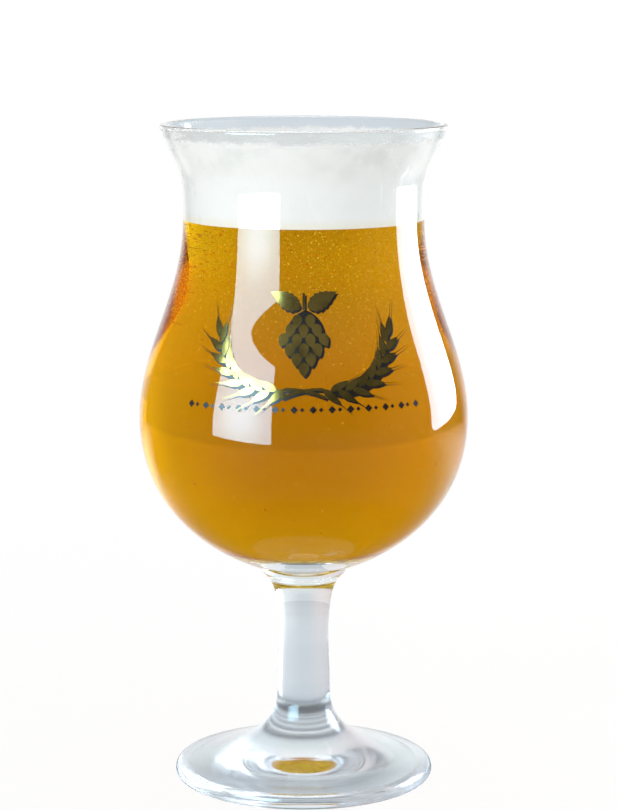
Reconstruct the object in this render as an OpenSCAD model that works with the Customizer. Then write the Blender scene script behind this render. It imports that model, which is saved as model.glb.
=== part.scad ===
// Tulip beer glass on a short stem, poured with beer under a head of foam.
// Millimetres, +Z up. The origin is the centre of the foot, on the table.
// Every piece is turned about the Z axis from an outline of smooth curves.

/* [Bowl] */
// Height of the bowl, from its seat on the stem to the rim
bowl_h = 114.3; // [95:0.1:135]
// Diameter over the rim
rim_d = 72.9; // [64:0.1:82]
// Thickness of the glass at the rounded rim
rim_wall = 1.6; // [1:0.1:3]
// Lean of the lip, in degrees from upright
lip_angle = 19.5; // [10:0.5:30]
// Diameter at the waist, below the lip
waist_d = 61.4; // [54:0.1:68]
// Height of the lip, from the waist up to the rim
lip_h = 24.4; // [18:0.1:32]
// Thickness of the glass at the waist
waist_wall = 1.7; // [1:0.1:3]
// Diameter at the belly, the widest place
belly_d = 84.4; // [76:0.1:92]
// Height of the belly above the bowl's seat
belly_up = 39.2; // [34:0.1:46]
// Thickness of the glass at the belly
belly_wall = 2; // [1.2:0.1:3]
// Slope of the underside where it leaves the seat, in degrees
under_angle = 17.5; // [12:0.5:24]
// Depth of clear glass between the seat and the beer
base_wall = 7.4; // [4:0.1:10]

/* [Bowl curves] */
// How far the underside runs on along its slope
under_pull = 15; // [12:0.1:18]
// How far the belly's upright reaches down
belly_pull_down = 22.4; // [18:0.1:25]
// How far the belly's upright reaches up
belly_pull_up = 17.5; // [13:0.1:22]
// How far the waist's upright reaches down
waist_pull_down = 18.5; // [14:0.1:23]
// How far the waist's upright reaches up
waist_pull_up = 16; // [11:0.1:18]
// How far the lip's lean reaches down
lip_pull = 13.9; // [9:0.1:17]
// Radius of the nearly flat floor inside
floor_r = 14; // [9:0.1:18]
// Rise of that floor from its middle to its edge
floor_dish = 0.2; // [0.1:0.1:1]
// How far the inside runs on level beyond the floor
floor_pull = 10; // [6:0.1:13]
// How far the inside's upright at the belly reaches down
inside_pull_down = 22; // [18:0.1:24]

/* [Stem] */
// Height of the stem, from the foot's boss to the bowl's seat
stem_h = 32.7; // [26:0.1:60]
// Diameter of the seat where bowl and stem are fused
seat_d = 22.4; // [18:0.1:26]
// Height of the upright land under the seat
land_h = 1.2; // [0.6:0.1:2.4]
// Draw of the land, from the seat down to the flare
land_draw = 0.2; // [0:0.1:0.6]
// Height of the flare under the land
flare_h = 18; // [12:0.1:20]
// Slope of the flare at its top, in degrees
flare_angle = 50; // [35:1:65]
// How far the flare runs on along that slope
flare_pull = 3.3; // [2:0.1:5]
// How far the stem's upright reaches up into the flare
stem_pull = 15; // [8:0.1:16]
// Diameter of the stem at its narrowest
stem_d = 13; // [10:0.1:16]
// Diameter where stem and foot are fused
joint_d = 13.8; // [10.5:0.1:16.5]

/* [Foot] */
// Diameter of the foot
foot_d = 67; // [56:0.1:76]
// Height of the foot, with the boss that carries the stem
foot_h = 23; // [18:0.1:30]
// Radius of the rounded edge below its widest place
toe_r = 1.9; // [1:0.1:3]
// Radius of the rounded edge above its widest place
edge_r = 2.3; // [1:0.1:4]
// Slope of the foot's top behind the edge, in degrees
foot_slope = 12.5; // [6:0.5:15]
// How far the top runs on along that slope
foot_pull = 23.7; // [15:0.1:25]
// How far the boss's upright reaches down
boss_pull = 6.6; // [3:0.1:9]
// Width of the flat ring that the glass stands on
ring_w = 2.4; // [1.5:0.1:5]
// Rise of the hollow underside in the middle
kick_h = 3.6; // [1:0.1:5]

/* [Filling] */
// Room left between the foam and the rim
headspace = 4.2; // [4.2:0.1:12]
// Depth of the head of foam
foam_depth = 20.1; // [8:0.1:40]

/* [Hidden] */

// Steps along one curve and round one rounded edge
curve_steps = 16;
arc_steps = 10;
// Facets of a full turn in the preview
turn_steps = 128;

rim_r = rim_d / 2;
lip_r = rim_wall / 2;
waist_r = waist_d / 2;
belly_r = belly_d / 2;
seat_r = seat_d / 2;
stem_r = stem_d / 2;
joint_r = joint_d / 2;
foot_r = foot_d / 2;
seat_z = foot_h + stem_h;

// Heights of the waist, the foam's top and the beer's surface above the bowl's seat
waist_up = bowl_h - lip_h;
foam_up = bowl_h - headspace;
beer_up = foam_up - foam_depth;

// Unit vector at an angle from +X
function along(angle) = [cos(angle), sin(angle)];

// Point on a cubic curve from a to d, pulled by b and c
function curve_point(a, b, c, d, t) =
    let (u = 1 - t)
    u * u * u * a + 3 * u * u * t * b + 3 * u * t * t * c + t * t * t * d;

// Points of that curve
function curve(a, b, c, d) =
    [for (i = [0 : curve_steps]) curve_point(a, b, c, d, i / curve_steps)];

// Points of an arc
function arc(centre, r, from, to) =
    [for (i = [0 : arc_steps]) centre + r * along(from + (to - from) * i / arc_steps)];

// A list without its first point, so that curves join with no double point
function rest(points) = [for (i = [1 : len(points) - 1]) points[i]];

// Radius of a rising outline at a height
function radius_at(points, up) = lookup(up, [for (p = points) [p.y, p.x]]);

// The part of a rising outline between two heights, with points at both
function stretch(points, low, high) = concat(
    [[radius_at(points, low), low]],
    [for (p = points) if (p.y > low && p.y < high) p],
    [[radius_at(points, high), high]]
);

// The rounded rim: its centre, and the wall's outer and inner ends at it
lip_centre = [rim_r - lip_r, bowl_h - lip_r];
lip_outer = lip_centre + lip_r * along(-lip_angle);
lip_inner = lip_centre - lip_r * along(-lip_angle);
lip_reach = lip_pull * along(90 - lip_angle);

// Outside of the bowl, from the seat up to the rim
outside = let (
    seat = [seat_r, 0],
    belly = [belly_r, belly_up],
    waist = [waist_r, waist_up]
) concat(
    curve(seat, seat + under_pull * along(under_angle), belly - [0, belly_pull_down], belly),
    rest(curve(belly, belly + [0, belly_pull_up], waist - [0, waist_pull_down], waist)),
    rest(curve(waist, waist + [0, waist_pull_up], lip_outer - lip_reach, lip_outer))
);

// Inside of the bowl, from the middle of its floor up to the rim
inside = let (
    floor_edge = [floor_r, base_wall + floor_dish],
    belly = [belly_r - belly_wall, belly_up],
    waist = [waist_r - waist_wall, waist_up]
) concat(
    [[0, base_wall]],
    curve(floor_edge, floor_edge + [floor_pull, 0], belly - [0, inside_pull_down], belly),
    rest(curve(belly, belly + [0, belly_pull_up], waist - [0, waist_pull_down], waist)),
    rest(curve(waist, waist + [0, waist_pull_up], lip_inner - lip_reach, lip_inner))
);

// Turns an outline about the Z axis, at a height
module turned(points, up) {
    translate([0, 0, up])
        rotate_extrude($fn = turn_steps)
            polygon(points);
}

// Blown tulip bowl: open shell with a rounded rim and a thick base
module bowl() {
    rim = arc(lip_centre, lip_r, -lip_angle, 180 - lip_angle);
    falling = [for (i = [len(inside) - 2 : -1 : 0]) inside[i]];
    color([0.8, 0.86, 0.89, 0.35])
        turned(concat([[0, 0]], outside, rest(rim), falling), seat_z);
}

// Solid stem, drawn slightly narrower in the middle and flared to the bowl's seat
module stem() {
    flare_top = [seat_r - land_draw, stem_h - land_h];
    slim = [stem_r, stem_h - land_h - flare_h];
    slim_pull = slim.y / 3;
    color([0.78, 0.84, 0.88, 0.5])
        turned(concat(
            [[0, 0]],
            curve([joint_r, 0], [joint_r, slim_pull], slim - [0, slim_pull], slim),
            rest(curve(slim, slim + [0, stem_pull], flare_top - flare_pull * along(flare_angle), flare_top)),
            [[seat_r, stem_h], [0, stem_h]]
        ), foot_h);
}

// Solid foot: hollow underside, flat ring, rounded edge and a boss swept up to the stem
module foot() {
    toe = [foot_r - toe_r, toe_r];
    edge = [foot_r - edge_r, toe_r];
    edge_top = edge + edge_r * along(90 - foot_slope);
    boss = [joint_r, foot_h];
    ring_r = toe.x - ring_w;
    underside = [for (i = [0 : curve_steps]) let (t = i / curve_steps) [ring_r * t, kick_h * (1 - t * t)]];
    top_reach = edge_top + foot_pull * along(180 - foot_slope);
    color([0.78, 0.84, 0.88, 0.5])
        turned(concat(
            underside,
            arc(toe, toe_r, -90, 0),
            rest(arc(edge, edge_r, 0, 90 - foot_slope)),
            rest(curve(edge_top, top_reach, boss - [0, boss_pull], boss)),
            [[0, foot_h]]
        ), 0);
}

// Beer: fills the bowl from its floor to the foam
module beer() {
    color([0.75, 0.51, 0.02])
        turned(concat(stretch(inside, base_wall, beer_up), [[0, beer_up]]), seat_z);
}

// Head of foam: stands on the beer, up to the headspace below the rim
module foam_head() {
    color([0.94, 0.96, 0.95])
        turned(concat([[0, beer_up]], stretch(inside, beer_up, foam_up), [[0, foam_up]]), seat_z);
}

bowl();
stem();
foot();
beer();
foam_head();
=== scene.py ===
import math
import bmesh
import bpy
from mathutils import Matrix, Vector, noise
from mathutils.geometry import interpolate_bezier


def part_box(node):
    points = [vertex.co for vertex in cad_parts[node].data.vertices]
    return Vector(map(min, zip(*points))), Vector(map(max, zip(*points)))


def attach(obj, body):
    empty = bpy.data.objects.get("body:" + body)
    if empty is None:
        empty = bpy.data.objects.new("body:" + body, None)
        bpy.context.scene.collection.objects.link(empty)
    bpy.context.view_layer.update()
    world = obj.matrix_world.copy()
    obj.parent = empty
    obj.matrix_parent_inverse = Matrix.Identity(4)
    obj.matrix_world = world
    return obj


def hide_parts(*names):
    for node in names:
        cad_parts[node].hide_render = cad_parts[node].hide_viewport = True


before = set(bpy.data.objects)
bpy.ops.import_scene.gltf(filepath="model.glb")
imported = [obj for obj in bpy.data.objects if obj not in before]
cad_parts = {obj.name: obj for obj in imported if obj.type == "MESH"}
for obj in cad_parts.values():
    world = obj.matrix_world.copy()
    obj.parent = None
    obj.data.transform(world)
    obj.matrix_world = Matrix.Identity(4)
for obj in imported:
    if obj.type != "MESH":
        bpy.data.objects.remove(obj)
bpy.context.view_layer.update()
scene = bpy.context.scene
mm = 0.001
tiny = 1e-4  # mm, below which two points count as one
white = (1, 1, 1, 1)
print("frame loaded:", ", ".join(sorted(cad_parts)))


class Wire:
    # One socket of a node tree. Operators add Math nodes, node() adds any other node.
    def __init__(self, tree, socket=None):
        self.tree = tree
        self.socket = socket

    def node(self, kind, values=None, out=0, **settings):
        made = self.tree.nodes.new(kind)
        for name, value in settings.items():
            setattr(made, name, value)
        for key, value in (values or {}).items():
            if isinstance(value, Wire):
                self.tree.links.new(value.socket, made.inputs[key])
            else:
                made.inputs[key].default_value = value
        return Wire(self.tree, made.outputs[out] if len(made.outputs) else None)

    def pick(self, name):  # another output of the same node
        return Wire(self.tree, self.socket.node.outputs[name])

    def maths(self, operation, *values):
        return self.node("ShaderNodeMath", dict(enumerate(values)), operation=operation)

    def __add__(self, other):
        return self.maths("ADD", self, other)

    def __radd__(self, other):
        return self.maths("ADD", other, self)

    def __sub__(self, other):
        return self.maths("SUBTRACT", self, other)

    def __rsub__(self, other):
        return self.maths("SUBTRACT", other, self)

    def __mul__(self, other):
        return self.maths("MULTIPLY", self, other)

    def __rmul__(self, other):
        return self.maths("MULTIPLY", other, self)


# Short forms of the nodes that most trees use
def smoothStep(value, low, high, atLow=0.0, atHigh=1.0):
    limits = {"Value": value, "From Min": low, "From Max": high, "To Min": atLow, "To Max": atHigh}
    return value.node("ShaderNodeMapRange", limits, interpolation_type="SMOOTHSTEP")


def stepInMm(value, limits, atLow=0.0, atHigh=1.0):
    low, high = limits
    return smoothStep(value, low * mm, high * mm, atLow, atHigh)


def blend(share, first, second):
    return share.node("ShaderNodeMix", {0: share, 6: first, 7: second}, out=2, data_type="RGBA")


def layered(colour, *layers):  # each layer is a share and a colour
    for share, over in layers:
        colour = blend(share, colour, over)
    return colour


def varied(grain, limits):  # limits are the least, and what the grain adds
    least, more = limits
    return grain * more + least


def partOf(vector, axis):
    return vector.node("ShaderNodeSeparateXYZ", {0: vector}, out=axis)


def lengthOf(vector):
    return vector.node("ShaderNodeVectorMath", {0: vector}, out="Value", operation="LENGTH")


def scaled(vector, factor):
    return vector.node("ShaderNodeVectorMath", {0: vector, "Scale": factor}, operation="SCALE")


def objectPlace(tree):
    return tree.node("ShaderNodeTexCoord", out="Object")


def axisDistance(place):
    level = place.node("ShaderNodeVectorMath", {0: place, 1: (1, 1, 0)}, operation="MULTIPLY")
    return lengthOf(level)


def noiseAt(place, scale, detail=2.0):
    return place.node("ShaderNodeTexNoise", {"Vector": place, "Scale": scale, "Detail": detail})


def cellsAt(place, scale):
    return place.node("ShaderNodeTexVoronoi", {"Vector": place, "Scale": scale})


def bumpOf(height, depth, strength=1.0):  # depth in mm
    values = {"Strength": strength, "Distance": depth * mm, "Height": height}
    return height.node("ShaderNodeBump", values)


def principled(tree, values):
    return tree.node("ShaderNodeBsdfPrincipled", values)


def mixShader(share, first, second):
    return share.node("ShaderNodeMixShader", {0: share, 1: first, 2: second})


def output(surface, **volume):
    surface.node("ShaderNodeOutputMaterial", {"Surface": surface, **volume})


def newMaterial(name):
    made = bpy.data.materials.new(name)
    made.use_nodes = True
    made.node_tree.nodes.clear()
    return made, Wire(made.node_tree)


def addPiece(mesh, *materials):
    made = bpy.data.objects.new(mesh.name, mesh)
    for material in materials:
        mesh.materials.append(material)
    scene.collection.objects.link(made)
    return made


def carry(piece, node=None):
    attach(piece, "root")
    if node:
        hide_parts(node)


# Outlines are lists of (radius, height) in millimetres
def along(angle):
    return Vector((math.cos(math.radians(angle)), math.sin(math.radians(angle))))


def curve(a, b, c, d, steps=40):
    return interpolate_bezier(Vector(a), Vector(b), Vector(c), Vector(d), steps + 1)


def arc(centre, radius, start, end, steps=14):
    return [centre + radius * along(start + (end - start) * i / steps) for i in range(steps + 1)]


def radiusAt(outline, height):
    for low, high in zip(outline, outline[1:]):
        if low.y <= height <= high.y:
            share = (height - low.y) / max(high.y - low.y, tiny)
            return low.x + (high.x - low.x) * share
    return outline[-1].x


def cutOutline(outline, low, high):  # the stretch of a rising outline between two heights
    kept = [point for point in outline if low + tiny < point.y < high - tiny]
    first = Vector((radiusAt(outline, low), low))
    last = Vector((radiusAt(outline, high), high))
    return [first] + kept + [last]


def shrink(outline, gap):  # moves a rising outline towards the axis, square to itself
    moved = []
    for i, point in enumerate(outline):
        ahead = outline[min(i + 1, len(outline) - 1)] - outline[max(i - 1, 0)]
        inward = Vector((-ahead.y, ahead.x)).normalized()
        moved.append(Vector((max(point.x + inward.x * gap, 0), point.y + inward.y * gap)))
    return moved


def lathe(name, outline, turns, slots=(), sharpAngle=35):
    # Turns an outline that runs from axis to axis, outside first, into a closed mesh
    points, rings, faces, kinds = [], [], [], []
    for row in outline:
        count = turns if row.x > tiny else 1
        rings.append(range(len(points), len(points) + count))
        for j in range(count):
            turn = 2 * math.pi * j / turns
            points.append((row.x * math.cos(turn) * mm, row.x * math.sin(turn) * mm, row.y * mm))
    for low, high, slot in zip(rings, rings[1:], slots or [0] * len(outline)):
        for j in range(turns):
            k = (j + 1) % turns
            corners = (low[j % len(low)], low[k % len(low)], high[k % len(high)], high[j % len(high)])
            faces.append(list(dict.fromkeys(corners)))
            kinds.append(slot)
    mesh = bpy.data.meshes.new(name)
    mesh.from_pydata(points, [], faces)
    mesh.polygons.foreach_set("material_index", kinds)
    mesh.shade_smooth()
    mesh.set_sharp_from_angle(angle=math.radians(sharpAngle))
    mesh.validate()
    return mesh


# Camera, at the photograph's viewing angle
cameraView = {
    "frame": (617, 810),  # pixels
    "focalPixels": 2617.8,
    "axisLeft": 4.8,  # pixels from the frame's middle to the glass's axis
    "place": (0, -664.4, 206.7),  # mm
    "pitch": -9.31,  # degrees
    "nearest": 10,  # mm, where it starts to see
}


def makeCamera():
    lens = bpy.data.cameras.new("camera")
    longSide = max(cameraView["frame"])
    lens.lens = lens.sensor_width * cameraView["focalPixels"] / longSide
    lens.shift_x = cameraView["axisLeft"] / longSide
    lens.clip_start = cameraView["nearest"] * mm
    made = bpy.data.objects.new("camera", lens)
    made.location = Vector(cameraView["place"]) * mm
    made.rotation_euler = (math.radians(90 + cameraView["pitch"]), 0, 0)
    scene.collection.objects.link(made)
    scene.camera = made


makeCamera()
print("camera placed")

# Heights of the joints and of the filling, from the frame, in mm
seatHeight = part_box("bowl")[0].z / mm
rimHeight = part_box("bowl")[1].z / mm
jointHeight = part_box("stem")[0].z / mm
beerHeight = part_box("beer")[1].z / mm
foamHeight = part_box("foam_head")[1].z / mm

# Clear soda glass, shared by bowl, stem and foot
glassFinish = {
    "tint": (0.985, 0.992, 0.995, 1),
    "ior": 1.52,
    "wetIor": 1.13,  # glass against beer
    "waveScale": 45,  # waves per metre
    "waveDepth": 0.05,  # mm
    "streakScale": (420, 420, 130),  # per metre, of the foam's film
    "streakEdges": (0.3, 0.42),
    "lace": (0.86, 0.88, 0.87, 1),  # foam that clings to the glass above the head
    "laceHeight": 2.4,  # mm
    "laceScale": 380,  # per metre
    "laceSpecks": 1.4,  # how uneven its upper edge is
    "laceEdges": (0.8, 1.6),
}


def lightPasses(tree):  # 1 for light on its way to a matt surface, which glass lets straight through
    rays = tree.node("ShaderNodeLightPath", out="Is Shadow Ray")
    return rays.maths("MAXIMUM", rays, rays.pick("Is Diffuse Ray"))


def clearGlass(place, ior, roughness=0.0, tint=glassFinish["tint"]):
    waves = noiseAt(place, glassFinish["waveScale"], detail=1.0)
    return principled(place, {
        "Base Color": tint,
        "Roughness": roughness,
        "IOR": ior,
        "Transmission Weight": 1.0,
        "Normal": bumpOf(waves, glassFinish["waveDepth"]),
    })


def finishGlass(glass):
    clear = glass.node("ShaderNodeBsdfTransparent", {"Color": glassFinish["tint"]})
    output(mixShader(lightPasses(glass), glass, clear))


def makeGlass(name, ior):
    made, tree = newMaterial(name)
    finishGlass(clearGlass(objectPlace(tree), ior))
    return made


def makeFoamedGlass():  # glass that the foam wets in streaks
    s = glassFinish
    made, tree = newMaterial("glassOnFoam")
    place = objectPlace(tree)
    stretched = tree.node("ShaderNodeMapping", {"Vector": place, "Scale": s["streakScale"]})
    wet = smoothStep(noiseAt(stretched, 1.0, detail=3.0), *s["streakEdges"])
    finishGlass(mixShader(wet, clearGlass(place, s["ior"]), clearGlass(place, s["wetIor"])))
    return made


def makeLacedGlass():  # glass above the head, where foam still clings
    s = glassFinish
    made, tree = newMaterial("glassWithLace")
    place = objectPlace(tree)
    low = stepInMm(partOf(place, "Z"), (foamHeight, foamHeight + s["laceHeight"]), 1.0, 0.0)
    specks = noiseAt(place, s["laceScale"], detail=4.0)
    share = smoothStep(low + specks * s["laceSpecks"], *s["laceEdges"])
    matt = tree.node("ShaderNodeBsdfDiffuse", {"Color": s["lace"]})
    finishGlass(mixShader(share, clearGlass(place, s["ior"]), matt))
    return made


def makeFused():  # faces inside the glass, where two lumps are fused
    made, tree = newMaterial("fusedGlass")
    output(tree.node("ShaderNodeBsdfTransparent"))
    return made


dryGlass = makeGlass("clearGlass", glassFinish["ior"])
wetGlass = makeGlass("glassOnBeer", glassFinish["wetIor"])
foamedGlass = makeFoamedGlass()
lacedGlass = makeLacedGlass()
fusedGlass = makeFused()

# Bowl, in mm above its seat
bowlShape = {
    "seatRadius": 11.2,
    "rimRadius": 36.45,
    "lipRadius": 0.8,
    "lipAngle": 19.5,
    "lipPull": 13.9,
    "waistRadius": 30.7,
    "waistBelowRim": 24.4,
    "waistWall": 1.7,
    "waistPullUp": 16,
    "waistPullDown": 18.5,
    "bellyRadius": 42.2,
    "bellyUp": 39.2,
    "bellyWall": 2.0,
    "bellyPullUp": 17.5,
    "bellyPullDown": 22.4,
    "insidePullDown": 22,
    "underAngle": 17.5,
    "underPull": 15,
    "baseWall": 7.4,
    "floorRadius": 14,
    "floorDish": 0.2,
    "floorPull": 10,
    "turns": 288,
}


def bowlOutlines():
    s = bowlShape
    lift = Vector((0, seatHeight))
    lipCentre = Vector((s["rimRadius"] - s["lipRadius"], rimHeight - s["lipRadius"]))
    lipSide = s["lipRadius"] * along(-s["lipAngle"])
    lipReach = s["lipPull"] * along(90 - s["lipAngle"])
    waistUp = rimHeight - seatHeight - s["waistBelowRim"]

    def upperWall(inset, waistInset, lipEnd):
        belly = lift + Vector((s["bellyRadius"] - inset, s["bellyUp"]))
        waist = lift + Vector((s["waistRadius"] - waistInset, waistUp))
        aboveBelly = belly + Vector((0, s["bellyPullUp"]))
        belowWaist = waist - Vector((0, s["waistPullDown"]))
        aboveWaist = waist + Vector((0, s["waistPullUp"]))
        shoulder = curve(belly, aboveBelly, belowWaist, waist)
        lip = curve(waist, aboveWaist, lipEnd - lipReach, lipEnd)
        return shoulder + lip[1:]

    outerWall = upperWall(0, 0, lipCentre + lipSide)
    innerWall = upperWall(s["bellyWall"], s["waistWall"], lipCentre - lipSide)
    seat = lift + Vector((s["seatRadius"], 0))
    middle = lift + Vector((0, s["baseWall"]))
    floorEdge = middle + Vector((s["floorRadius"], s["floorDish"]))
    belowBelly = outerWall[0] - Vector((0, s["bellyPullDown"]))
    belowInside = innerWall[0] - Vector((0, s["insidePullDown"]))
    under = curve(seat, seat + s["underPull"] * along(s["underAngle"]), belowBelly, outerWall[0])
    floor = [middle] + curve(floorEdge, floorEdge + Vector((s["floorPull"], 0)), belowInside, innerWall[0])
    rim = arc(lipCentre, s["lipRadius"], -s["lipAngle"], 180 - s["lipAngle"])
    return under + outerWall[1:], rim, floor + innerWall[1:]


bowlOutside, bowlRim, bowlInside = bowlOutlines()


def makeBowl():
    wet = cutOutline(bowlInside, bowlInside[0].y, beerHeight)
    foamed = cutOutline(bowlInside, beerHeight, foamHeight)
    laced = cutOutline(bowlInside, foamHeight, bowlInside[-1].y)
    falling = (wet[:-1] + foamed[:-1] + laced)[::-1]
    outline = [Vector((0, seatHeight))] + bowlOutside + bowlRim[1:] + falling[1:]
    slots = [4] + [0] * (len(bowlOutside) + len(bowlRim) - 2)
    for slot, band in ((3, laced), (2, foamed), (1, wet)):
        slots += [slot] * (len(band) - 1)
    mesh = lathe("bowlShell", outline, bowlShape["turns"], slots)
    made = addPiece(mesh, dryGlass, wetGlass, foamedGlass, lacedGlass, fusedGlass)
    carry(made, "bowl")


makeBowl()
print("bowl turned:", len(bowlOutside) + len(bowlInside), "outline points")

# Stem, in mm above the joint with the foot
stemShape = {
    "jointRadius": 6.9,
    "slimRadius": 6.5,
    "landHeight": 1.2,
    "landDraw": 0.2,
    "flareHeight": 18,
    "flareAngle": 50,
    "flarePull": 3.3,
    "stemPull": 15,
    "slimSteps": 20,
    "turns": 144,
}


def makeStem():
    s = stemShape
    lift = Vector((0, jointHeight))
    height = seatHeight - jointHeight
    slimUp = height - s["landHeight"] - s["flareHeight"]
    foot = lift + Vector((s["jointRadius"], 0))
    slim = lift + Vector((s["slimRadius"], slimUp))
    flareTop = lift + Vector((bowlShape["seatRadius"] - s["landDraw"], height - s["landHeight"]))
    seat = lift + Vector((bowlShape["seatRadius"], height))
    third = Vector((0, slimUp / 3))
    flareLow = flareTop - s["flarePull"] * along(s["flareAngle"])
    outline = [lift] + curve(foot, foot + third, slim - third, slim, s["slimSteps"])
    outline += curve(slim, slim + Vector((0, s["stemPull"])), flareLow, flareTop)[1:]
    outline += [seat, Vector((0, seat.y))]
    slots = [1] + [0] * (len(outline) - 3) + [1]
    made = addPiece(lathe("stemRod", outline, s["turns"], slots), dryGlass, fusedGlass)
    carry(made, "stem")


makeStem()
print("stem turned")

# Foot, in mm above the floor
footShape = {
    "radius": 33.5,
    "toeRadius": 1.9,
    "edgeRadius": 2.3,
    "slope": 12.5,
    "topPull": 23.7,
    "bossPull": 6.6,
    "ringWidth": 2.4,
    "kickHeight": 3.6,
    "kickSteps": 40,
    "edgeSteps": 24,
    "topSteps": 60,
    "turns": 384,
    "tint": (0.935, 0.965, 0.988, 1),
    "roughness": (0.05, 0.12),  # on its top and round its edge
    "edgeStarts": (26, 32),  # mm from the axis, where the one turns into the other
    "bossRoughness": 0.16,  # more of it on the boss
    "bossStarts": (8, 12),
    "bossEnds": (18, 22),
}


def makePressedGlass():  # the mould leaves the foot a little dull
    s = footShape
    made, tree = newMaterial("pressedGlass")
    place = objectPlace(tree)
    height = partOf(place, "Z")
    roughness = stepInMm(axisDistance(place), s["edgeStarts"], *s["roughness"])
    boss = stepInMm(height, s["bossStarts"], 0.0, s["bossRoughness"])
    boss = boss * stepInMm(height, s["bossEnds"], 1.0, 0.0)
    finishGlass(clearGlass(place, glassFinish["ior"], roughness + boss, s["tint"]))
    return made


def makeFoot():
    s = footShape
    toe = Vector((s["radius"] - s["toeRadius"], s["toeRadius"]))
    edge = Vector((s["radius"] - s["edgeRadius"], s["toeRadius"]))
    edgeTop = edge + s["edgeRadius"] * along(90 - s["slope"])
    boss = Vector((stemShape["jointRadius"], jointHeight))
    ringRadius = toe.x - s["ringWidth"]
    shares = [i / s["kickSteps"] for i in range(s["kickSteps"] + 1)]
    outline = [Vector((ringRadius * t, s["kickHeight"] * (1 - t * t))) for t in shares]
    outline += arc(toe, s["toeRadius"], -90, 0, s["edgeSteps"])
    outline += arc(edge, s["edgeRadius"], 0, 90 - s["slope"], s["edgeSteps"])[1:]
    topReach = edgeTop + s["topPull"] * along(180 - s["slope"])
    outline += curve(edgeTop, topReach, boss - Vector((0, s["bossPull"])), boss, s["topSteps"])[1:]
    outline += [Vector((0, jointHeight))]
    slots = [0] * (len(outline) - 2) + [1]
    made = addPiece(lathe("footDisc", outline, s["turns"], slots), makePressedGlass(), fusedGlass)
    carry(made, "foot")


makeFoot()
print("foot turned")

# Beer, in the wet part of the bowl
beerShape = {
    "gap": 0.05,  # mm to the glass and to the foam
    "absorb": (1.6, 13, 180),  # per metre, of red, green and blue
    "turns": 160,
}


def filling(name, gap, top):  # a closed body inside the wet wall
    wall = shrink(cutOutline(bowlInside, bowlInside[0].y, top), gap)
    wall[0].x = 0
    return lathe(name, wall + [Vector((0, wall[-1].y))], beerShape["turns"])


def makeBeerFinish():
    made, tree = newMaterial("amberBeer")
    density = max(beerShape["absorb"])
    passed = [1 - amount / density for amount in beerShape["absorb"]] + [1]
    body = tree.node("ShaderNodeVolumeAbsorption", {"Color": passed, "Density": density})
    liquid = principled(tree, {
        "Base Color": white,
        "Roughness": 0.0,
        "IOR": 1.0,  # the bowl's wet wall bends the light already
        "Transmission Weight": 1.0,
    })
    output(mixShader(lightPasses(tree), liquid, tree.node("ShaderNodeBsdfTransparent")), Volume=body)
    return made


def makeBeer():
    mesh = filling("beerBody", beerShape["gap"], beerHeight)
    carry(addPiece(mesh, makeBeerFinish()), "beer")


makeBeer()
print("beer poured")

# Yeast that hangs in the beer and catches the light
beerHaze = {
    "gap": 0.4,  # mm to the glass and to the foam
    "colour": (0.45, 0.85, 0.12, 1),
    "density": 7.0,  # per metre
    "forward": 0.3,  # share of the light that goes on ahead
    "cloudScale": 90,  # per metre
    "skinColours": ((0.75, 0.5, 0.06, 1), (0.55, 0.33, 0.03, 1)),
    "skinRoughness": (0.5, 0.3),
    "skinShows": 0.03,
    "settledColours": ((0.85, 0.62, 0.1, 1), (0.3, 0.2, 0.03, 1)),  # of the yeast on the bowl's floor
    "settledShows": 0.95,
    "settledFades": (0.2, 1.0),  # mm up
    "grainScale": 450,  # per metre
    "grainEdges": (0.35, 0.65),
    "thinEdges": (0.2, 0.5),  # where the grains lie thin
    "thinShows": 0.8,
}


def makeHazeFinish():
    s = beerHaze
    made, tree = newMaterial("yeastHaze")
    place = objectPlace(tree)
    clouds = noiseAt(place, s["cloudScale"], detail=4.0)
    grains = noiseAt(place, s["grainScale"])
    lowest = bowlInside[0].y + s["gap"]
    settled = stepInMm(partOf(place, "Z"), [lowest + up for up in s["settledFades"]], 1.0, 0.0)
    hanging = blend(clouds, *s["skinColours"])
    fallen = blend(smoothStep(grains, *s["grainEdges"]), *s["settledColours"])
    thick = smoothStep(grains, *s["thinEdges"], s["thinShows"], 1.0) * s["settledShows"]
    skin = principled(tree, {
        "Base Color": blend(settled, hanging, fallen),
        "Roughness": varied(clouds, s["skinRoughness"]),
        "Specular IOR Level": 0.0,
        "Alpha": settled * thick + s["skinShows"],
    })
    motes = {"Color": s["colour"], "Density": s["density"], "Anisotropy": s["forward"]}
    output(skin, Volume=tree.node("ShaderNodeVolumeScatter", motes))
    return made


def makeHaze():
    mesh = filling("beerHaze", beerHaze["gap"], beerHeight - beerHaze["gap"])
    carry(addPiece(mesh, makeHazeFinish()))


makeHaze()
print("yeast stirred in")

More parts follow.
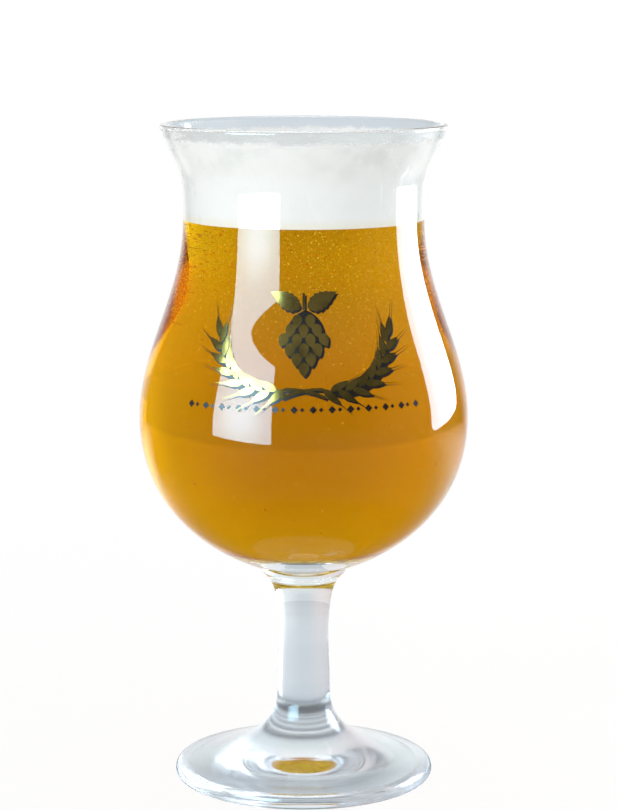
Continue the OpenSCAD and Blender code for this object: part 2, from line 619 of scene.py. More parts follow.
# Head of foam
foamShape = {
    "gap": 0.05,  # mm to the glass and to the beer
    "dip": 1.2,  # mm, how far the middle sinks
    "lump": 0.5,  # mm
    "lumpScale": 120,  # per metre
    "lumpStarts": 0.3,  # mm from the edge
    "lumpGrows": 4,  # mm from the edge, where a lump has its full height
    "topSlack": 0.1,  # mm
    "topSteps": 36,
    "turns": 160,
    "colour": (0.9, 0.91, 0.89, 1),
    # painted shade in bubble hollows, also mottled at random in drifts
    "hollowShadeColour": (0.78, 0.8, 0.78, 1),
    "hollowEdges": (0.45, 0.75),
    "hollowShares": (0.25, 0.9),  # low on the side and at its top
    "mottled": 12,  # mm below the top, where the side starts to be mottled
    "soakedColour": (0.86, 0.83, 0.7, 1),
    "soakedShare": 0.8,
    "soakHeight": 3.0,  # mm of foam that beer still drains from
    # painted shade on the foam's top surface
    "topShadeColour": (0.66, 0.69, 0.69, 1),
    "topShadeShare": 0.8,
    "topDepth": (2.4, 1.8),  # mm below the edge, where the painted shade on the top ends
    "edgeWidth": (1.2, 0.3),  # mm from the wall, where the top turns into the side
    "bubbleScales": (900, 2430, 360),  # per metre: middling, fine and large bubbles
    "bubbleHeights": (0.6, 0.3, 1.5),
    "bubbleDepth": 0.2,  # mm
    "bubbleStrength": 0.35,
    "fineShare": 0.1,  # how far the fine bubbles' cells show painted shade as hollows
    "looseEdges": (0.48, 0.62),  # where the top has large bubbles
    "largeEdges": (0.35, 0.6),
}


def makeFoamFinish():
    s = foamShape
    made, tree = newMaterial("beerFoam")
    place = objectPlace(tree)
    middling, fine, large = [cellsAt(place, scale) for scale in s["bubbleScales"]]
    drifts = noiseAt(place, s["lumpScale"], detail=3.0)
    height = partOf(place, "Z")
    soaked = stepInMm(height, (beerHeight, beerHeight + s["soakHeight"]), s["soakedShare"], 0.0)
    upper = stepInMm(height, (foamHeight - s["mottled"], foamHeight), *s["hollowShares"])
    # painted shade in hollows: random drifts, more towards the top, and the fine bubbles' cells
    hollow = smoothStep(drifts, *s["hollowEdges"]) * upper + fine * s["fineShare"]
    leaning = (foamHeight * mm - height) * math.tan(math.radians(bowlShape["lipAngle"]))
    wall = radiusAt(bowlInside, foamHeight)
    inner = stepInMm(axisDistance(place) + leaning, [wall - gap for gap in s["edgeWidth"]], 1.0, 0.0)
    # painted shade on the foam's top surface, ending at its edge to the side
    top = stepInMm(height, [foamHeight - down for down in s["topDepth"]], 0.0, s["topShadeShare"]) * inner
    loose = top * smoothStep(drifts, *s["looseEdges"])
    # painted shade inside large open bubbles on the top
    holes = loose * smoothStep(large, *s["largeEdges"])
    sides = layered(s["colour"], (hollow, s["hollowShadeColour"]), (soaked, s["soakedColour"]))
    colour = layered(sides, (top, s["topShadeColour"]), (holes, s["hollowShadeColour"]))
    middlingHeight, fineHeight, largeHeight = s["bubbleHeights"]
    domes = (1 - middling) * middlingHeight + (1 - fine) * fineHeight + (1 - large) * loose * largeHeight
    output(principled(tree, {
        "Base Color": colour,
        "Roughness": 0.75,
        "Specular IOR Level": 0.2,
        "Normal": bumpOf(domes, s["bubbleDepth"], s["bubbleStrength"]),
    }))
    return made


def makeFoam():
    s = foamShape
    base = beerHeight + s["gap"]
    wall = shrink(cutOutline(bowlInside, base, foamHeight), s["gap"])
    wall[0].y = base
    edge = wall[-1]
    shares = [1 - i / s["topSteps"] for i in range(1, s["topSteps"] + 1)]
    top = [Vector((edge.x * share, edge.y - s["dip"] * (1 - share ** 4))) for share in shares]
    mesh = lathe("foamHead", [Vector((0, base))] + wall + top, s["turns"])
    lowest = edge.y - s["dip"] - s["topSlack"]
    for point in mesh.vertices:
        inside = edge.x - math.hypot(point.co.x, point.co.y) / mm
        if point.co.z / mm > lowest and inside > s["lumpStarts"]:
            grown = min(1, inside / s["lumpGrows"])
            point.co.z += grown * s["lump"] * mm * noise.noise(point.co * s["lumpScale"])
    carry(addPiece(mesh, makeFoamFinish()), "foam_head")


makeFoam()
print("foam set on the beer")


# Growing: a tree of Geometry Nodes run on a carrier, and the plain mesh that it leaves
inputKinds = {
    int: "Int",
    float: "Float",
    tuple: "Vector",
    type(None): "Geometry",  # the carrier's own
    bpy.types.Object: "Object",
    bpy.types.Material: "Material",
}


def newTree(name, inputs):
    made = bpy.data.node_groups.new(name, "GeometryNodeTree")
    for label, value in inputs.items():
        kind = "NodeSocket" + inputKinds[type(value)]
        made.interface.new_socket(label, in_out="INPUT", socket_type=kind)
    made.interface.new_socket("Grown", in_out="OUTPUT", socket_type="NodeSocketGeometry")
    tree = Wire(made)
    return made, tree, tree.node("NodeGroupInput")


def randomValue(tree, low, high, seed):
    limits = {2: low, 3: high, "Seed": seed}
    return tree.node("FunctionNodeRandomValue", limits, out=1, data_type="FLOAT")


def placeShapes(tree, points, shape, **turn):
    given = {0: points, "Instance": shape, **turn}
    return tree.node("GeometryNodeInstanceOnPoints", given)


def shapeIn(given, label):
    return given.node("GeometryNodeObjectInfo", {"Object": given.pick(label)}, out="Geometry")


def endTree(instances, material):
    plain = instances.node("GeometryNodeRealizeInstances", {0: instances})
    smooth = plain.node("GeometryNodeSetShadeSmooth", {0: plain})
    painted = smooth.node("GeometryNodeSetMaterial", {0: smooth, "Material": material})
    painted.node("NodeGroupOutput", {0: painted})


def grow(name, tree, inputs, base=None):
    carrier = bpy.data.objects.new(name, base or bpy.data.meshes.new(name))
    scene.collection.objects.link(carrier)
    modifier = carrier.modifiers.new("grow", "NODES")
    modifier.node_group = tree
    for item in tree.interface.items_tree:
        if item.in_out == "INPUT" and item.socket_type != "NodeSocketGeometry":
            modifier[item.identifier] = inputs[item.name]
    depsgraph = bpy.context.evaluated_depsgraph_get()
    grown = bpy.data.meshes.new_from_object(carrier.evaluated_get(depsgraph), depsgraph=depsgraph)
    carrier.modifiers.remove(modifier)
    bpy.data.objects.remove(carrier)
    for value in inputs.values():
        if isinstance(value, bpy.types.Object):
            bpy.data.objects.remove(value)
    grown.name = name
    return grown


# Fine gas bubbles near the bowl's wet wall
beerBubbles = {
    "perArea": 800000.0,  # bubbles per square metre, where they are thickest
    "smallest": 0.08,  # mm, radius
    "largest": 0.22,
    "depth": 6.0,  # mm from the glass
    "lowest": 3,  # mm above the bowl's floor
    "thinAt": 105,  # mm above the floor, where they have thinned out
    "thinShare": 0.04,
    "thickAt": 138,
    "wallTurns": 96,
    "faces": 20,  # of one bubble
    "seed": 4,
    "colours": ((1.0, 0.8, 0.16, 1), (0.85, 0.58, 0.06, 1)),
    "roughness": (0.3, 0.2),
    "grainScale": 600,  # per metre
}


def makeBubbleTree(inputs):
    made, tree, given = newTree("bubbleTree", inputs)
    seed = given.pick("Seed")
    height = partOf(tree.node("GeometryNodeInputPosition"), "Z")
    thin, thick, thinShare = [given.pick(label) for label in ("Thin at", "Thick at", "Thin share")]
    density = smoothStep(height, thin, thick, thinShare, 1.0) * given.pick("Per area")
    spread = {"Mesh": given.pick("Wall"), "Density": density, "Seed": seed}
    points = tree.node("GeometryNodeDistributePointsOnFaces", spread)
    sunk = randomValue(tree, 0.0, given.pick("Depth"), seed + 1)
    offset = scaled(points.pick("Normal"), 0 - sunk)
    placed = tree.node("GeometryNodeSetPosition", {0: points, "Offset": offset})
    ball = tree.node("GeometryNodeMeshIcoSphere", {"Radius": 1.0, "Subdivisions": 1})
    size = randomValue(tree, given.pick("Smallest"), given.pick("Largest"), seed + 2)
    endTree(placeShapes(tree, placed, ball, Scale=size), given.pick("Finish"))
    return made


def makeBubbleFinish():
    s = beerBubbles
    made, tree = newMaterial("bubbleSkin")
    grain = noiseAt(objectPlace(tree), s["grainScale"])
    output(principled(tree, {
        "Base Color": blend(grain, *s["colours"]),
        "Roughness": varied(grain, s["roughness"]),
        "Specular IOR Level": 0.15,
    }))
    return made


def makeBeerBubbles():
    s = beerBubbles
    inputs = {
        "Wall": None,
        "Per area": s["perArea"],
        "Smallest": s["smallest"] * mm,
        "Largest": s["largest"] * mm,
        "Depth": s["depth"] * mm,
        "Thin at": s["thinAt"] * mm,
        "Thin share": s["thinShare"],
        "Thick at": s["thickAt"] * mm,
        "Seed": s["seed"],
        "Finish": makeBubbleFinish(),
    }
    gap = s["largest"] + beerShape["gap"] * 2
    wall = shrink(cutOutline(bowlInside, bowlInside[0].y + s["lowest"], beerHeight - gap), gap)
    base = lathe("bubbleWall", wall, s["wallTurns"])
    grown = grow("beerBubbles", makeBubbleTree(inputs), inputs, base)
    carry(addPiece(grown))
    print("bubbles in the beer:", len(grown.polygons) // s["faces"])


makeBeerBubbles()

# Fired-on decoration: barley, a hop cone and a row of diamonds, drawn flat in mm and wrapped on the bowl
decor = {
    "middle": 116.5,  # mm above the floor
    "sink": 0.01,  # mm into the glass
    "goldRise": 0.05,
    "blackRise": 0.025,
    "shadeShift": (0.5, -0.55),  # mm, from the gold to its black shade
    "sharpAngle": 40,
    "gold": ((0.45, 0.33, 0.09, 1), (0.25, 0.18, 0.05, 1)),  # fresh and worn
    "goldRoughness": (0.08, 0.15),
    "wearScale": 260,  # per metre
    "wearEdges": (0.4, 0.7),
    "goldGrain": 3000,
    "black": (0.012, 0.011, 0.01, 1),
    "blackRoughness": (0.2, 0.2),
    "blackGrain": 1800,
}
barley = {
    "earStart": (4.5, -8.4, 0),
    "earMiddle": (17.0, -11.0, 0),
    "earTip": (22.5, 3.5, 0),
    "grains": 15,
    "lean": 33,  # degrees from the ear's line
    "length": 5.0,
    "width": 1.75,
    "awn": 4.0,  # length of the bristle at a grain's tip
    "awnWidth": 0.34,
    "stalkWidth": 0.7,
    "stalkLength": 12,
    "stalkMiddle": (0, -8.0, 0),
    "stalkEnd": (-5.0, -10.4, 0),
    "backLength": 30,
}
hop = {
    "middle": (0, 3.6),
    "columns": 7,
    "rows": 6,
    "acrossPitch": 3.0,
    "upPitch": 2.25,
    "halfWidth": 5.2,
    "halfHeight": 6.6,
    "taper": 0.3,
    "fan": 0.09,  # turn of a scale for each mm from the middle
    "scaleLength": 3.3,
    "scaleWidth": 2.55,
    "leafLength": 9.0,
    "leafWidth": 4.6,
    "leafTurn": 24,  # degrees up from the level
    "leafStart": (1.0, 0.6),  # from the cone's top
    "teeth": 6,
    "toothDepth": 0.22,
    "stalkLength": 4.0,
    "backLength": 15.0,
    "backRise": 0.5,
}
diamonds = {
    "count": 27,
    "spacing": 2.1,
    "down": -13.2,
    "length": 1.7,
    "width": 1.9,
    "smaller": 0.4,  # share that every second one loses
}


def blade(name, length, halfWidth, rows, columns=4):
    # A thin closed leaf along +X, as wide as halfWidth says at each share of its length
    width = columns + 1
    layer = (rows + 1) * width
    points = []
    for level in (0, 1):
        for i in range(rows + 1):
            reach = halfWidth(i / rows)
            points += [(length * i / rows, reach * (2 * j / columns - 1), level) for j in range(width)]
    edge = list(range(columns))
    edge += [i * width + columns for i in range(rows)]
    edge += [rows * width + columns - j for j in range(columns)]
    edge += [(rows - i) * width for i in range(rows)]
    faces = []
    for i in range(rows):
        for j in range(columns):
            low = i * width + j
            faces.append((low, low + 1, low + width + 1, low + width))
            faces.append(tuple(layer + corner for corner in faces[-1][::-1]))
    for a, b in zip(edge, edge[1:] + edge[:1]):
        faces.append((a, b, layer + b, layer + a))
    mesh = bpy.data.meshes.new(name)
    mesh.from_pydata(points, [], faces)
    return mesh


def swell(share, lean, fullness):  # from 0 over 1 to 0, widest nearer the start as lean goes down
    return math.sin(math.pi * share ** lean) ** fullness


def grainHalf(share):
    reach = share * (barley["length"] + barley["awn"]) / barley["length"]
    body = swell(reach, lean=0.7, fullness=0.8) * barley["width"] / 2 if reach < 1 else 0
    return max(body, barley["awnWidth"] / 2 * (1.1 - share))


def scaleHalf(share):
    return max(swell(share, lean=0.75, fullness=0.7), 0.08) * hop["scaleWidth"] / 2


def leafHalf(share):
    teeth = 1 - hop["toothDepth"] * (share * hop["teeth"] % 1)
    return max(swell(share, lean=0.7, fullness=1) * teeth, 0.05) * hop["leafWidth"] / 2


def diamondHalf(share):
    return max(1 - abs(2 * share - 1), 0.03) * diamonds["width"] / 2


def earBackHalf(share):
    return barley["width"] * 0.8 * min(1, 6 * share + 0.1, 3 * (1.05 - share))


def coneBackHalf(share):
    return max(swell(share, lean=0.8, fullness=0.8), 0.05) * hop["halfWidth"]


def stalkHalf(share):
    return barley["stalkWidth"] / 2


def moved(mesh, turn, place):
    mesh.transform(Matrix.Rotation(math.radians(turn), 4, "Z"))
    mesh.transform(Matrix.Translation((place[0], place[1], 0)))
    return mesh


def mirrored(mesh):
    other = mesh.copy()
    other.transform(Matrix.Diagonal((-1, 1, 1, 1)))
    return other


def bent(mesh, line):  # lays a blade along a curve with a start, a middle and an end
    start, middle, end = [Vector(point[:2]) for point in line]
    length = max(point.co.x for point in mesh.vertices)
    for point in mesh.vertices:
        t = point.co.x / length
        place = start * (1 - t) ** 2 + middle * 2 * t * (1 - t) + end * t * t
        ahead = ((middle - start) * (1 - t) + (end - middle) * t).normalized()
        point.co.x, point.co.y = place + Vector((-ahead.y, ahead.x)) * point.co.y
    return mesh


def makeEarTree(inputs):
    made, tree, given = newTree("earTree", inputs)
    path = {"Resolution": 48, "End": given.pick("Tip")}
    for label in ("Start", "Middle"):
        path[label] = given.pick(label)
    line = tree.node("GeometryNodeCurveQuadraticBezier", path)
    count = {"Curve": line, "Count": given.pick("Grains")}
    points = tree.node("GeometryNodeCurveToPoints", count, mode="COUNT")
    heading = partOf(points.pick("Tangent"), "X")
    turn = heading.maths("ARCTAN2", heading.pick("Y"), heading)
    index = tree.node("GeometryNodeInputIndex")
    side = index.maths("MODULO", index, 2.0) * 2 - 1
    below = index.maths("LESS_THAN", index, given.pick("Grains") - 1.5)  # the last grain points straight on
    turned = tree.node("ShaderNodeCombineXYZ", {"Z": turn + side * below * given.pick("Lean")})
    endTree(placeShapes(tree, points, shapeIn(given, "Grain"), Rotation=turned), given.pick("Finish"))
    return made


def makeHopTree(inputs):
    made, tree, given = newTree("hopTree", inputs)
    lastColumn = given.pick("Columns") - 1
    lastRow = given.pick("Rows") - 1
    grid = tree.node("GeometryNodeMeshGrid", {
        "Size X": lastColumn * given.pick("Across"),
        "Size Y": lastRow * given.pick("Up"),
        "Vertices X": given.pick("Columns"),
        "Vertices Y": given.pick("Rows"),
    })
    x = partOf(tree.node("GeometryNodeInputPosition"), "X")
    y = x.pick("Y")
    row = y.maths("DIVIDE", y, given.pick("Up")) + lastRow * 0.5
    odd = row.maths("MODULO", row.maths("ROUND", row), 2.0)
    shift = tree.node("ShaderNodeCombineXYZ", {"X": odd * given.pick("Across") * 0.5})
    staggered = tree.node("GeometryNodeSetPosition", {0: grid, "Offset": shift})
    up = y.maths("DIVIDE", y, given.pick("Half height"))
    across = x.maths("DIVIDE", x, given.pick("Half width")) * (1 - up * given.pick("Taper"))
    outside = across.maths("GREATER_THAN", across * across + up * up, 1.0)
    kept = tree.node("GeometryNodeDeleteGeometry", {0: staggered, "Selection": outside})
    turned = tree.node("ShaderNodeCombineXYZ", {"Z": x * given.pick("Fan") - math.pi / 2})
    endTree(placeShapes(tree, kept, shapeIn(given, "Scale"), Rotation=turned), given.pick("Finish"))
    return made


def makeRowTree(inputs):
    made, tree, given = newTree("rowTree", inputs)
    labels = {"Count": "Count", "Start Location": "Start", "Offset": "Step"}
    points = tree.node("GeometryNodeMeshLine", {key: given.pick(label) for key, label in labels.items()})
    index = tree.node("GeometryNodeInputIndex")
    size = 1 - index.maths("MODULO", index, 2.0) * given.pick("Smaller")
    sizes = tree.node("ShaderNodeCombineXYZ", {"X": size, "Y": size, "Z": 1.0})
    endTree(placeShapes(tree, points, shapeIn(given, "Diamond"), Scale=sizes), given.pick("Finish"))
    return made


def wrapOnBowl(name, meshes, shift, rise, material):
    flat = bmesh.new()
    for mesh in meshes:
        flat.from_mesh(mesh)
    bmesh.ops.recalc_face_normals(flat, faces=flat.faces)
    reach = radiusAt(bowlOutside, decor["middle"])
    for point in flat.verts:
        turn = (point.co.x + shift[0]) / reach
        height = decor["middle"] + point.co.y + shift[1]
        onTop = point.co.z > 0.5  # a blade's layers lie at 0 and 1
        radius = radiusAt(bowlOutside, height) + (rise if onTop else -decor["sink"])
        point.co = Vector((radius * math.sin(turn), -radius * math.cos(turn), height)) * mm
    wrapped = bpy.data.meshes.new(name)
    flat.to_mesh(wrapped)
    flat.free()
    wrapped.materials.clear()
    wrapped.shade_smooth()
    wrapped.set_sharp_from_angle(angle=math.radians(decor["sharpAngle"]))
    carry(addPiece(wrapped, material))


def makeGold():
    made, tree = newMaterial("firedGold")
    place = objectPlace(tree)
    wear = noiseAt(place, decor["wearScale"], detail=4.0)
    grain = noiseAt(place, decor["goldGrain"])
    output(principled(tree, {
        "Base Color": blend(smoothStep(wear, *decor["wearEdges"]), *decor["gold"]),
        "Metallic": 0.9,
        "Roughness": varied(wear, decor["goldRoughness"]),
        "Normal": bumpOf(grain, depth=0.02, strength=0.3),
    }))
    return made


def makeEnamel():
    made, tree = newMaterial("blackEnamel")
    grain = noiseAt(objectPlace(tree), decor["blackGrain"])
    output(principled(tree, {
        "Base Color": decor["black"],
        "Roughness": varied(grain, decor["blackRoughness"]),
        "Normal": bumpOf(grain, depth=0.01, strength=0.2),
    }))
    return made


def shapeOf(mesh):
    return bpy.data.objects.new(mesh.name, mesh)


def makeEar(gold):
    b = barley
    inputs = {
        "Grain": shapeOf(blade("grain", b["length"] + b["awn"], grainHalf, rows=22)),
        "Start": b["earStart"],
        "Middle": b["earMiddle"],
        "Tip": b["earTip"],
        "Grains": b["grains"],
        "Lean": math.radians(b["lean"]),
        "Finish": gold,
    }
    return grow("rightEar", makeEarTree(inputs), inputs)


def makeHopScales(gold):
    inputs = {
        "Scale": shapeOf(blade("scale", hop["scaleLength"], scaleHalf, rows=8)),
        "Columns": hop["columns"],
        "Rows": hop["rows"],
        "Across": hop["acrossPitch"],
        "Up": hop["upPitch"],
        "Half width": hop["halfWidth"],
        "Half height": hop["halfHeight"],
        "Taper": hop["taper"],
        "Fan": hop["fan"],
        "Finish": gold,
    }
    return moved(grow("hopScales", makeHopTree(inputs), inputs), 0, hop["middle"])


def makeDiamondRow(enamel):
    s = diamonds
    half = (s["count"] - 1) * s["spacing"] / 2 + s["length"] / 2
    inputs = {
        "Diamond": shapeOf(blade("diamond", s["length"], diamondHalf, rows=6, columns=2)),
        "Count": s["count"],
        "Start": (-half, s["down"], 0),
        "Step": (s["spacing"], 0, 0),
        "Smaller": s["smaller"],
        "Finish": enamel,
    }
    return grow("diamondRow", makeRowTree(inputs), inputs)


def makeDecor():
    gold = makeGold()
    enamel = makeEnamel()
    b = barley
    ear = makeEar(gold)
    scales = makeHopScales(gold)
    top = hop["middle"][1] + hop["halfHeight"]
    leafAcross, leafUp = hop["leafStart"]
    leafPlace = (leafAcross, top + leafUp)
    leaf = moved(blade("leaf", hop["leafLength"], leafHalf, rows=36), hop["leafTurn"], leafPlace)
    coneStalk = moved(blade("coneStalk", hop["stalkLength"], stalkHalf, rows=8, columns=2), 90, (0, top))
    stalkLine = (b["earStart"], b["stalkMiddle"], b["stalkEnd"])
    stalk = bent(blade("stalk", b["stalkLength"], stalkHalf, rows=14, columns=2), stalkLine)
    shapes = [ear, mirrored(ear), scales, leaf, mirrored(leaf), coneStalk, stalk, mirrored(stalk)]
    wrapOnBowl("decorGold", shapes, (0, 0), decor["goldRise"], gold)

    earLine = (b["earStart"], b["earMiddle"], b["earTip"])
    earBack = bent(blade("earBack", b["backLength"], earBackHalf, rows=40), earLine)
    coneBack = blade("coneBack", hop["backLength"], coneBackHalf, rows=24, columns=8)
    shades = shapes + [earBack, mirrored(earBack), moved(coneBack, -90, (0, top + hop["backRise"]))]
    wrapOnBowl("decorShade", shades, decor["shadeShift"], decor["blackRise"], enamel)
    wrapOnBowl("decorDiamonds", [makeDiamondRow(enamel)], (0, 0), decor["blackRise"], enamel)
    print("decoration fired on:", len(ear.polygons) * 2, "faces of barley")


makeDecor()

# Studio: a pale floor, a world and softboxes. Glass, gloss and matt surfaces each see their own colours.
# Edges without a unit are parts of a direction, from -1 to 1.
studio = {
    "backdrop": (0.735, 0.82, 0.82, 1),  # what glass shows behind it
    "horizon": (0.67, 0.73, 0.78, 1),  # the same, far off at floor height
    "raised": (0.02, 0.25),  # where the one turns into the other
    "asideRight": (0.88, 0.94, 0.98, 1),
    "asideRightEdges": (0.05, 0.5),
    "farRight": (1.75, 1.85, 1.85, 1),
    "farRightEdges": (0.45, 0.85),
    "asideLeft": (0.86, 0.81, 0.82, 1),
    "asideLeftEdges": (-0.05, -0.5),
    "roomInGlass": (0.3, 0.33, 0.36, 1),  # the camera's side of the studio, refracted
    "roomEdges": (-0.2, 0.6),
    "roomLean": 1.0,  # how far the backdrop comes round on the right
    "roomInGloss": (0.02, 0.021, 0.022, 1),  # the same, mirrored
    "glossEdges": (0.75, 0.95),  # how far round to the back the gloss turns white
    "glossStarts": (0.0, 0.2),  # m behind the glass, where the floor's own white starts in the gloss
    "glossReach": (0.35, 0.7),  # m from the glass, where it ends
    "glossLeft": (-0.83, -0.68),  # how far round to the left it ends sooner
    "glossLeftReach": (0.09, 0.24),
    "aboveInGlass": (0.95, 0.98, 1.0, 1),
    "aboveInGloss": (0.4, 0.42, 0.44, 1),
    "aboveEdges": (0.25, 0.9),
    "overheadInGloss": (4.0, 4.2, 4.4, 1),
    "overheadEdges": (0.86, 0.97),
    "fill": (0.75, 0.75, 0.75, 1),  # light on matt surfaces
    "floorWhite": (0.95, 0.95, 0.95, 1),
    "floorSize": 6.0,  # m
    "floorDrop": 0.1,  # mm below the foot
    "floorShadowInGlass": (0.22, 0.26, 0.3, 1),  # painted shadow on the floor under the foot, seen steeply through glass
    "lowEdges": (0.3, 0.7),  # from a steep look to a low one
    "footShade": (0.075, 0.1),  # m from the glass, where that shade ends
    "footHides": (0.015, 0.036),  # m from the axis, where the painted shadow is darkest at the front, and ends
    "hiddenShare": 0.75,
    "hiddenEdges": (-0.01, 0.005),  # m behind the axis
    "floorShadowMirrored": (0.15, 0.17, 0.195, 1),  # painted shadow on the floor under the foot, for views mirrored on the way
    "floorNear": (0.63, 0.7, 0.78, 1),  # the same, seen low and close by
    "floorLit": (1.6, 1.65, 1.7, 1),  # the same, in the lamps' light in front of the glass
    "litEdges": (-0.06, -0.02),  # m behind the axis
    "floorLitRight": (2.8, 3.1, 3.1, 1),
    "litRightEdges": (0.03, 0.08),  # m to the right
    "floorFades": (0.7, 2.4),  # m from the glass, where it fades into the room
    "polishEnds": (1.0, 1.5),
    "polishIor": 1.45,
    "polishRoughness": 0.06,
    "floorLift": 0.75,  # share of plain white that the camera sees near the glass
    "glassLift": 0.3,  # share of plain backdrop that glass shows there
    "liftFades": (0.06, 0.4),  # m from the glass, where the floor fades into the backdrop
}


def backColour(way):  # way is a direction, in its parts
    back = blend(smoothStep(way.pick("Z"), *studio["raised"]), studio["horizon"], studio["backdrop"])
    for side in ("asideRight", "farRight", "asideLeft"):
        back = blend(smoothStep(way.pick("X"), *studio[side + "Edges"]), back, studio[side])
    return back


def roomColour(way, front, back, edges, above, lean=0.0):
    toRight = way.maths("MAXIMUM", way.pick("X"), 0.0)
    behind = smoothStep(way.pick("Y") + toRight * lean, *edges)
    return blend(smoothStep(way.pick("Z"), *studio["aboveEdges"]), blend(behind, front, back), above)


def roomInGlass(way, back):
    s = studio
    return roomColour(way, s["roomInGlass"], back, s["roomEdges"], s["aboveInGlass"], s["roomLean"])


def atLeastOnce(rays, depth):
    return rays.maths("GREATER_THAN", rays.pick(depth), 0.5)


def makeWorld():
    s = studio
    world = bpy.data.worlds.new("studioWorld")
    world.use_nodes = True
    world.node_tree.nodes.clear()
    tree = Wire(world.node_tree)
    rays = tree.node("ShaderNodeLightPath", out="Is Camera Ray")
    way = partOf(tree.node("ShaderNodeTexCoord", out="Generated"), "X")
    refracted = roomInGlass(way, backColour(way))
    mirror = roomColour(way, s["roomInGloss"], white, s["glossEdges"], s["aboveInGloss"])
    overhead = smoothStep(way.pick("Z"), *s["overheadEdges"])
    within = atLeastOnce(rays, "Transmission Depth")
    mirror = layered(mirror, (overhead, s["overheadInGloss"]), (within, refracted))
    seen = {"Reflection": mirror, "Diffuse": s["fill"], "Transmission": refracted, "Camera": white}
    layers = [(rays.pick("Is " + kind + " Ray"), colour) for kind, colour in seen.items()]
    shown = layered(s["fill"], *layers)
    sky = tree.node("ShaderNodeBackground", {"Color": shown, "Strength": 1.0})
    tree.node("ShaderNodeOutputWorld", {"Surface": sky})
    scene.world = world


def makeFloorFinish():
    s = studio
    made, tree = newMaterial("paleFloor")
    rays = tree.node("ShaderNodeLightPath", out="Is Camera Ray")
    inGloss = rays.pick("Is Reflection Ray") * (1 - rays.pick("Is Diffuse Ray"))
    inGlass = rays.pick("Is Transmission Ray")
    place = objectPlace(tree)
    behindAxis = partOf(place, "Y")
    reach = lengthOf(place)
    way = partOf(tree.node("ShaderNodeVectorMath", {0: place}, operation="NORMALIZE"), "X")

    # What gloss mirrors: white behind the glass and close by, the dark room elsewhere
    close = smoothStep(reach, *s["glossReach"], 1.0, 0.0)
    leftward = smoothStep(way.pick("X"), *s["glossLeft"], 1.0, 0.0)
    close = close * (1 - leftward * smoothStep(reach, *s["glossLeftReach"]))
    close = close.maths("MAXIMUM", atLeastOnce(rays, "Transmission Depth"), close)
    behind = smoothStep(way.pick("Y"), *s["glossEdges"])
    behind = behind.maths("MAXIMUM", behind, close * smoothStep(behindAxis, *s["glossStarts"]))
    plain = blend(inGloss, white, blend(behind, s["roomInGloss"], white))

    # What glass shows: the backdrop, a painted shadow under the foot and a painted pool of light on the
    # floor in front of it
    back = backColour(way)
    clear = smoothStep(reach, *s["footShade"])
    facing = tree.node("ShaderNodeLayerWeight", {"Blend": 0.5}, out="Facing")
    low = smoothStep(facing, *s["lowEdges"])
    low = low.maths("MAXIMUM", low, clear)
    front = smoothStep(behindAxis, *s["litEdges"], 1.0, 0.0) * clear
    # painted shadow under the foot, for views that were mirrored first
    mirroredShadow = atLeastOnce(rays, "Glossy Depth") * (1 - low)
    # painted shadow, darkest at the front under the foot
    hidden = smoothStep(reach, *s["footHides"], s["hiddenShare"], 0.0)
    hidden = hidden * smoothStep(behindAxis, *s["hiddenEdges"], 1.0, 0.0)
    lit = blend(smoothStep(behindAxis.pick("X"), *s["litRightEdges"]), s["floorLit"], s["floorLitRight"])
    shades = ((mirroredShadow, s["floorShadowMirrored"]), (hidden, s["floorShadowInGlass"]))
    fading = (smoothStep(reach, *s["floorFades"]), roomInGlass(way, back))
    beyond = layered(s["floorShadowInGlass"], (low, back), *shades, (front, lit), fading)
    under = layered(s["floorShadowInGlass"], (low, s["floorNear"]), (front, s["floorWhite"]), *shades)

    # The floor: matt near the glass, plain light farther off, and a polish that only glass shows
    matt = tree.node("ShaderNodeBsdfDiffuse", {"Color": blend(inGlass, s["floorWhite"], under)})
    glow = tree.node("ShaderNodeEmission", {"Color": blend(inGlass, plain, beyond), "Strength": 1.0})
    fade = smoothStep(reach, *s["liftFades"])
    seenLift, glassLift = [s[key] + (1 - s[key]) * fade for key in ("floorLift", "glassLift")]
    share = inGloss.maths("MAXIMUM", inGloss, rays * seenLift)
    share = share.maths("MAXIMUM", share, inGlass * glassLift)
    onFloor = smoothStep(reach, *s["polishEnds"], 1.0, 0.0)
    polish = tree.node("ShaderNodeFresnel", {"IOR": s["polishIor"]}) * inGlass * onFloor
    gloss = tree.node("ShaderNodeBsdfAnisotropic", {"Roughness": s["polishRoughness"]})
    output(mixShader(polish, mixShader(share, matt, glow), gloss))
    return made


def makeFloor():
    half = studio["floorSize"] / 2
    level = -studio["floorDrop"] * mm
    corners = [(x, y, level) for x, y in ((-half, -half), (half, -half), (half, half), (-half, half))]
    mesh = bpy.data.meshes.new("floor")
    mesh.from_pydata(corners, [], [range(4)])
    addPiece(mesh, makeFloorFinish())


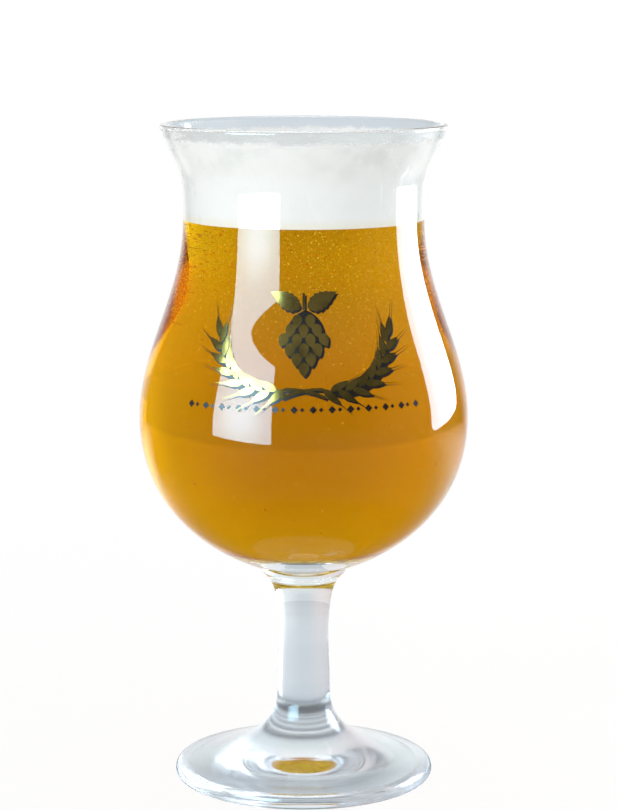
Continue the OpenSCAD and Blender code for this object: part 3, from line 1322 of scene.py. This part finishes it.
# Softboxes: a card that only reflections and glass show, and a lamp that only matt surfaces take
softboxes = {
    "left": {
        "azimuth": -42.5,  # degrees from the camera's side, rightwards
        "across": (-185, 192),  # mm from its middle, rightwards as the glass sees it
        "bottom": (37, 2),  # mm above the floor, at both of those ends
        "top": 367,
        "corner": 8,
        "apron": False,
        "hotUp": 150,  # height of the lamp's bright spot behind the cloth
        "glow": (6.8, 10.9, 13.4, 1),
        "glowInGlass": (0.9, 0.95, 1.0, 1),
        "power": 2.7,
    },
    "right": {
        "azimuth": 118,
        "across": (-205, 130),
        "bottom": (15, 70),
        "top": 345,
        "corner": 45,
        "apron": True,  # hangs to the floor, where glass shows it
        "hotUp": 200,
        "glow": (8.5, 10.3, 13.0, 1),
        "glowInGlass": (2.3, 2.6, 2.9, 1),
        "power": 4.2,
    },
}
boxShape = {
    "reach": 500,  # mm from the glass to a card
    "cornerPull": 0.45,  # how square a rounded corner stays
    "cornerSteps": 10,
    "hotReach": (20, 200),  # mm from the bright spot, where it fades
    "hotGlow": (1.5, 0.95),
    "apronLap": 20,  # mm of the apron behind the card
    "lampReach": 900,
    "lampUp": 420,
}


def hangCard(name, corners, material):
    mesh = bpy.data.meshes.new(name)
    mesh.from_pydata(corners, [], [range(len(corners))])
    card = addPiece(mesh, material)
    for sight in ("camera", "diffuse", "shadow", "volume_scatter"):
        setattr(card, "visible_" + sight, False)
    return card


def cardEdge(box):
    (low, high), (lowEnd, highEnd), top = box["across"], box["bottom"], box["top"]
    corners = [Vector(corner) for corner in ((low, lowEnd), (high, highEnd), (high, top), (low, top))]
    pull = boxShape["cornerPull"]
    edge = []
    for before, corner, after in zip(corners[-1:] + corners, corners, corners[1:] + corners[:1]):
        back = (before - corner).normalized() * box["corner"]
        ahead = (after - corner).normalized() * box["corner"]
        turn = (corner + back, corner + back * pull, corner + ahead * pull, corner + ahead)
        edge += curve(*turn, boxShape["cornerSteps"])
    return edge


def makeGlow(name, box, hot):
    made, tree = newMaterial(name)
    refracted = tree.node("ShaderNodeLightPath", out="Is Transmission Ray")
    place = objectPlace(tree)
    away = tree.node("ShaderNodeVectorMath", {0: place, 1: hot}, out="Value", operation="DISTANCE")
    strength = stepInMm(away, boxShape["hotReach"], *boxShape["hotGlow"])
    colour = scaled(blend(refracted, box["glow"], box["glowInGlass"]), strength)
    output(tree.node("ShaderNodeEmission", {"Color": colour, "Strength": 1.0}))
    return made


def makeSoftbox(name, box):
    s = boxShape
    turn = math.radians(box["azimuth"])
    outward = Vector((math.sin(turn), -math.cos(turn), 0))
    across = Vector((math.cos(turn), math.sin(turn), 0))

    def placed(aside, up, reach=s["reach"]):
        return (across * aside + outward * reach + Vector((0, 0, up))) * mm

    glow = makeGlow(name + "Glow", box, placed(0, box["hotUp"]))
    hangCard(name + "Card", [placed(*point) for point in cardEdge(box)], glow)
    (low, high), (lowEnd, highEnd) = box["across"], box["bottom"]
    if box["apron"]:
        ends = ((low, 0), (high, 0), (high, highEnd + s["apronLap"]), (low, lowEnd + s["apronLap"]))
        hangCard(name + "Apron", [placed(*end) for end in ends], glow).visible_glossy = False

    lamp = bpy.data.lights.new(name + "Lamp", "AREA")
    lamp.shape = "RECTANGLE"
    lamp.size = (high - low) * mm
    lamp.size_y = (box["top"] - lowEnd) * mm
    lamp.energy = box["power"]
    holder = bpy.data.objects.new(name + "Lamp", lamp)
    holder.location = placed(0, s["lampUp"], s["lampReach"])
    aim = Vector((0, 0, seatHeight)) * mm - holder.location
    holder.rotation_euler = aim.to_track_quat("-Z", "Y").to_euler()
    for sight in ("camera", "glossy", "transmission"):
        setattr(holder, "visible_" + sight, False)
    scene.collection.objects.link(holder)


makeWorld()
makeFloor()
for boxName, box in softboxes.items():
    makeSoftbox(boxName, box)
print("studio lit")

# Glass needs many bounces, and no caustics are traced
for kind in ("max", "transmission", "glossy"):
    setattr(scene.cycles, kind + "_bounces", 64)
scene.cycles.transparent_max_bounces = 24
scene.cycles.caustics_reflective = False
scene.cycles.caustics_refractive = False
scene.view_settings.view_transform = "Standard"
